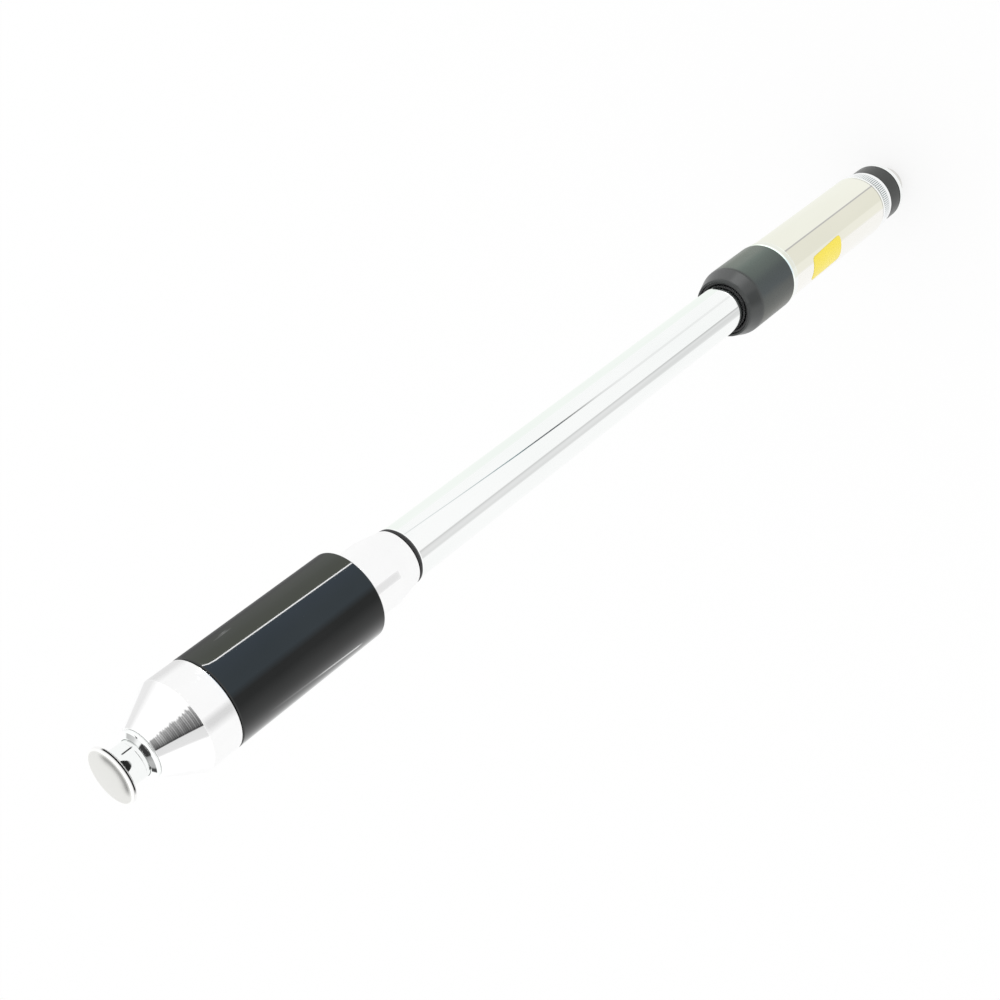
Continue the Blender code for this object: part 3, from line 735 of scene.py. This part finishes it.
def along(ends, rows):
    """A card's rows on a straight stretch: (place, normal, stops), from (share of the way, stops)."""
    run = ends[1] - ends[0]
    normal = Vector((run.y, -run.x)).normalized()
    return [(ends[0] + run * share, normal, stops) for share, stops in rows]


def alike(ends, stops):
    """The rows of a straight stretch that shows the same from end to end."""
    return along(ends, [(0, stops), (1, stops)])


def mirrored(place, normal, degrees, reach):
    """The point that a piece's skin shows the camera at a place and an angle."""
    out = outward(degrees)
    spot = out * place.x + Vector((0, 0, place.y))
    facing = out * normal.x + Vector((0, 0, normal.y))
    return spot + (spot - camera_place).normalized().reflect(facing) * reach


def card_material():
    """Light of the colours kept in the card's corners, which thins out to nothing with their alpha."""
    made, tree = start_material("stage_card", (0, 0, 0), roughness=1.0, metallic=0.0)[:2]
    made.cycles.emission_sampling = "NONE"
    stops = tree.nodes.new("ShaderNodeVertexColor")
    stops.layer_name = "stops"
    light = light_of(tree, (0, 0, 0))
    clear = tree.nodes.new("ShaderNodeBsdfTransparent")
    tree.links.new(stops.outputs["Color"], light.inputs["Color"])
    mixed(tree, stops.outputs["Alpha"], clear.outputs["BSDF"], light.outputs["Emission"])
    return made


def shares(count, last):
    """Even shares of the way from one stop to the next; the last way has its end too."""
    return [k / count for k in range(count + last)]


def filled(rows, steps):
    """The rows with even steps between them, and their stops as (degrees, colour with its density)."""
    lines = []
    for i, ((place, normal, stops), (further, facing, others)) in enumerate(zip(rows, rows[1:])):
        for t in shares(steps, last=i == len(rows) - 2):
            line = []
            for (start, tone, density), (end, shade, weight) in zip(stops, others):
                colour = Vector(colour_of(tone)).lerp(Vector(colour_of(shade)), t)
                line.append((start + (end - start) * t, (*colour, density + (weight - density) * t)))
            lines.append((place.lerp(further, t), normal.lerp(facing, t).normalized(), line))
    return lines


def make_card(node, part, rows, reach=CARD_REACH, steps=CARD_ROWS):
    """A card for a node; it rides along, and only what mirrors shows it."""
    lines = filled(rows, steps)
    gaps = range(len(lines[0][2]) - 1)
    widths = [max(line[j + 1][0] - line[j][0] for place, normal, line in lines) for j in gaps]
    columns = [max(1, math.ceil(width / CARD_STEP)) for width in widths]
    points = []
    colours = []
    for place, normal, line in lines:
        for j in gaps:
            for t in shares(columns[j], last=j == gaps[-1]):
                degrees = line[j][0] + (line[j + 1][0] - line[j][0]) * t
                points.append(mirrored(place, normal, degrees, reach))
                colours.append(Vector(line[j][1]).lerp(Vector(line[j + 1][1]), t))
    across = sum(columns) + 1
    faces = [(here, here + 1, here + 1 + across, here + across)
             for i in range(len(lines) - 1) for here in range(i * across, (i + 1) * across - 1)]
    name = f"card_{node}_{part}"
    mesh = bpy.data.meshes.new(name)
    mesh.from_pydata(points, [], faces)
    layer = mesh.color_attributes.new("stops", "FLOAT_COLOR", "POINT")
    for corner, colour in zip(layer.data, colours):
        corner.color = colour
    mesh.materials.append(bpy.data.materials.get("stage_card") or card_material())
    card = add_object(name, mesh)
    for ray in ("camera", "diffuse", "transmission", "shadow"):
        setattr(card, f"visible_{ray}", False)
    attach(card, body_with[node])


# Tones of the room, each a grey or a red, green and blue
DUSK = (0.17, 0.26, 0.28)
NIGHT = (0.09, 0.10, 0.11)
OLIVE = (1.30, 1.38, 1.15)
WINDOW = 20.0
SKY = (0.62, 0.80, 0.95)
SHADE = 0.30
BEIGE = (0.83, 0.83, 0.745)
PALE = (0.90, 0.90, 0.825)
CREAM = (0.93, 0.945, 0.88)


def make_tube_cards():
    """What the slider tube and the base tube show: dark edges of the room, long and thin."""
    tube = stretch("slider_tube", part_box("collar")[1].z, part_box("slider_tube")[1].z)
    make_card("slider_tube", "line", along(tube, [
        (0.00, stripe(-15.5, -12.5, 0.72, 0.35, 2, 2)),
        (0.40, stripe(-15.5, -12.5, 0.72, 0.45, 2, 2)),
        (0.48, stripe(-16.5, -13.5, 0.60, 0.6, 1, 1)),
        (0.55, stripe(-16.6, -14.4, 0.22, 0.9)),
        (0.60, stripe(-17.2, -15.0, NIGHT)),
        (0.66, stripe(-18.0, -16.0, NIGHT)),
        (0.72, stripe(-18.9, -17.3, DUSK)),
        (0.79, stripe(-20.9, -19.5, DUSK, 0.7)),
        (0.87, stripe(-23.4, -22.0, DUSK, 0.4)),
        (1.00, stripe(-28.5, -27.0, DUSK, 0.25))]))
    make_card("slider_tube", "band", along(tube, [
        (0.0, [(16.5, 0.5, 0), (17.5, 0.5, 1), (19.5, 0.66, 1), (22, 0.8, 1), (26, 0.72, 1),
               (35, 0.78, 1), (39, 0.8, 0)]),
        (0.5, [(15, 0.7, 0), (17.5, 0.62, 1), (19.5, 0.76, 1), (22, 0.82, 1), (27, 0.78, 1),
               (31, 0.74, 1), (35, 0.9, 0)]),
        (1.0, [(14, 0.8, 0), (17, 0.60, 1), (19, 0.74, 1), (23, 0.80, 1), (27, 0.78, 1),
               (30, 0.76, 1), (34, 0.9, 0)])]))
    make_card("slider_tube", "side", along(tube, [
        (0.0, stripe(-85, -48, (0.93, 0.97, 0.93), 1, 1, 4)),
        (1.0, stripe(-85, -48, (0.95, 0.98, 0.95), 1, 1, 4))]))
    tube = stretch("base_tube", *(corner.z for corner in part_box("base_tube")))
    make_card("base_tube", "side", alike(tube, stripe(-75, -15.5, CREAM, 1, 4, 0.5)))
    make_card("base_tube", "band", alike(tube, [
        (-15.4, 0.62, 0), (-14.6, 0.54, 1), (-12.8, 0.50, 1), (-12.0, BEIGE, 1), (17, BEIGE, 1),
        (19, PALE, 1), (32, PALE, 1), (36, 0.9, 0)]))
    ring_low, ring_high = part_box("front_ring")
    middle = (ring_low.z + ring_high.z) / 2
    ring = stretch("front_ring", middle - RING_HALF, middle + RING_HALF)
    make_card("front_ring", "band", alike(ring, [
        (-75, PALE, 0), (-70, PALE, 1), (-15, PALE, 1), (-12, BEIGE, 1), (17, BEIGE, 1),
        (19, PALE, 1), (32, PALE, 1), (36, PALE, 0)]))


def make_sleeve_card():
    """What the glossy sleeve shows: a window's edge, and the room beside it."""
    sleeve = stretch("coil_sleeve", *(corner.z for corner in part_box("coil_sleeve")))
    rows = []
    for share, window in ((0.0, -27.8), (0.93, -32.2), (0.97, -33.5), (1.0, -37.0)):
        rows.append((share, [
            (-88, 0.28, 1), (-70, 0.31, 1), (-50, (0.9, 0.95, 0.85), 1), (window - 0.5, OLIVE, 1),
            (window, WINDOW, 1), (window + 0.8, WINDOW, 1), (window + 1.5, (0.65, 0.85, 1.1), 1),
            (-6, SKY, 1), (6, SKY, 1), (14, SHADE, 1), (22, SHADE, 1), (33, 0.60, 1), (45, 0.80, 1),
            (56, 1.15, 1), (66, 1.3, 1), (82, 1.2, 1)]))
    make_card("coil_sleeve", "room", along(sleeve, rows))
    make_card("coil_sleeve", "streak", along(sleeve, [
        (0.16, stripe(65, 66, 5, 0.0, 1, 1)),
        (0.20, stripe(64.5, 66, 5, 0.8, 1, 1)),
        (0.45, stripe(61, 62.5, 5, 0.7, 1, 1)),
        (0.52, stripe(60, 61.5, 4, 0.35, 1, 1)),
        (0.75, stripe(57, 58.5, 3, 0.25, 1, 1)),
        (0.84, stripe(56, 57, 3, 0.0, 1, 1))]), STREAK_REACH)
    for degrees, low, high in ((-60, 0.74, 0.80), (-57.5, 0.72, 0.84)):
        make_card("coil_sleeve", "scuff", along(sleeve, [
            (low, stripe(degrees, degrees + 0.6, 3, 0.1)),
            (low * 0.6 + high * 0.4, stripe(degrees + 0.3, degrees + 1.2, 3, 0.6)),
            (high, stripe(degrees + 0.8, degrees + 1.4, 3, 0.1))]), STREAK_REACH)


def make_aluminium_cards():
    """What the turned pieces show. The cone's grooves tear one edge of its dark patch into fine rings."""
    band = widest_side("cone_cap")
    cone = stretch("cone_cap", band[1].y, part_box("cone_cap")[1].z)
    chance = random.Random(CONE_SEED)
    rows = []
    for i in range(CONE_RINGS + 1):
        share = i / CONE_RINGS
        torn = -6 + chance.uniform(-3, 2)
        light = chance.uniform(0.25, 0.65) if i % 2 else chance.uniform(0.0, 0.1)
        straight = 15.6 - 3.6 * share
        pale = 28 - 3 * share
        rows.append((share, [
            (torn - 2.5, 0.75, 0), (torn, 0.2 + light, 1), (3, 0.07 + light * 0.8, 1),
            (straight - 3, 0.04 + light * 0.4, 1), (straight, 0.04, 1), (straight + 1, 0.76, 1),
            (pale, 0.78, 1), (pale + 2.5, 0.9, 0)]))
    make_card("cone_cap", "rings", along(cone, rows), CONE_REACH, steps=1)
    make_card("cone_cap", "edge", alike(cone, stripe(-82, -66, 0.84, 1, 2, 12)), CONE_REACH)
    make_card("cone_cap", "band", alike(band, stripe(16, 21, 0.70, 1, 7, 9)))
    make_card("cone_cap", "side", alike(band, stripe(-80, -64, 0.78, 1, 2, 12)))
    cylinder = stretch("ferrule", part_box("joint_washer")[1].z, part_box("coil_sleeve")[0].z)
    make_card("ferrule", "band", alike(cylinder, stripe(17, 27, 0.80, 1, 2, 2)))


def make_collar_card():
    """What the plastic collar's cylinder and the slope at its mouth show."""
    cylinder = widest_side("collar")
    make_card("collar", "cylinder", alike(cylinder, [
        (-88, 0.9, 1), (-60, (1.05, 1.15, 1.02), 1), (-44, (1.6, 1.8, 1.6), 1), (-36, (1.4, 1.7, 1.5), 1),
        (-12, (1.25, 1.5, 1.35), 1), (0, (0.88, 1.03, 1.03), 1), (20, (0.82, 0.94, 1.0), 1),
        (30, (1.1, 1.15, 1.1), 1), (60, (1.0, 1.0, 0.94), 1), (85, 0.9, 1)]))
    mouth = stretch("collar", cylinder[1].y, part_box("collar")[1].z)
    mouth[1] = mouth[0].lerp(mouth[1], MOUTH_SHARE)
    make_card("collar", "mouth", alike(mouth, [
        (-85, 1.0, 1), (-55, 1.5, 1), (-38, 1.8, 1), (-30, 2.7, 1), (-20, 2.6, 1), (-8, 1.5, 1),
        (4, 1.1, 1), (10, 0.6, 1), (24, 0.5, 1), (36, 1.1, 1), (60, 1.3, 1), (85, 1.1, 1)]), MOUTH_REACH)


def make_whip_cards():
    """What the neck under the button shows: two dark patches."""
    neck = stretch("whip_section_1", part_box("whip_collar")[1].z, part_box("whip_section_1")[1].z)
    make_card("whip_section_1", "streak", along(neck, [
        (0.13, stripe(-31, -29, 0.06, 0.3)),
        (0.20, stripe(-31.5, -28, 0.04, 1, 1, 1)),
        (0.68, stripe(-31.5, -28, 0.04, 1, 1, 1)),
        (0.74, stripe(-31, -29, 0.06, 0.3))]))
    make_card("whip_section_1", "patch", along(neck, [
        (0.66, stripe(-2, 5, 0.03, 0.2)),
        (0.74, stripe(-8, 12, 0.03)),
        (0.86, stripe(-14, 16, 0.02)),
        (1.00, stripe(-19, 18, 0.02))]))


def make_rim_cards():
    """What the collar's slope and the button's polished rim show."""
    foot, top = sorted({height for radius, height in profile("whip_collar")[0]})[-2:]
    slope = stretch("whip_collar", foot, top)
    make_card("whip_collar", "slope", alike(slope, [
        (-64, 0.6, 0), (-58, 0.55, 1), (-36, 0.65, 1), (-24, 1, 1), (-17, 1, 1), (-14, 0.05, 1),
        (13, 0.04, 1), (17, 0.35, 1), (30, 0.5, 1), (44, 0.45, 1), (50, 0.06, 1), (58, 0.06, 1),
        (62, 0.5, 0)]), RIM_REACH)
    make_card("whip_collar", "side", alike(widest_side("whip_collar"), stripe(-60, 60, 1.06, 1, 5, 5)),
              SIDE_REACH)
    low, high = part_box("tip_button")
    side = widest_side("tip_button")
    radius = side[0].x
    chamfer = [Vector((radius - side[0].y + low.z, low.z)), side[0]]
    dark = stripe(-48, 45, 0.02, 1, 8, 14)
    make_card("tip_button", "foot", alike(chamfer, dark), RIM_REACH)
    make_card("tip_button", "side", along(side, [
        (0.00, dark),
        (0.72, dark),
        (0.78, stripe(-48, 52, 0.6, 1, 8, 8)),
        (0.82, stripe(-48, 62, 1, 0, 8, 8)),
        (0.86, stripe(-48, 62, 1, 0, 8, 8)),
        (0.92, stripe(-48, 62, 0.5, 0.8, 8, 8)),
        (1.00, stripe(-48, 62, 0.6, 0.8, 8, 8))]), RIM_REACH)
    rows = []
    for share, tone, density in ((0.99, 1.4, 1), (0.94, 1.4, 1), (0.90, 1.2, 1), (0.85, 0.45, 1),
                                 (0.78, 0.34, 1), (0.70, 0.6, 0.9), (0.60, 0.8, 0.5), (0.48, 0.85, 0)):
        slant = BUTTON_SLANT * share
        place = Vector((radius * share, high.z - radius * share * slant / 2))
        rows.append((place, Vector((slant, 1)).normalized(), stripe(-40, 48, tone, density, 25, 25)))
    make_card("tip_button", "top", rows, RIM_REACH, DOME_ROWS)


make_pieces()
dress_frame()
make_floor()
make_world()
make_camera()
make_tube_cards()
make_sleeve_card()
make_aluminium_cards()
make_collar_card()
make_whip_cards()
make_rim_cards()
bpy.context.scene.view_settings.view_transform = "Standard"
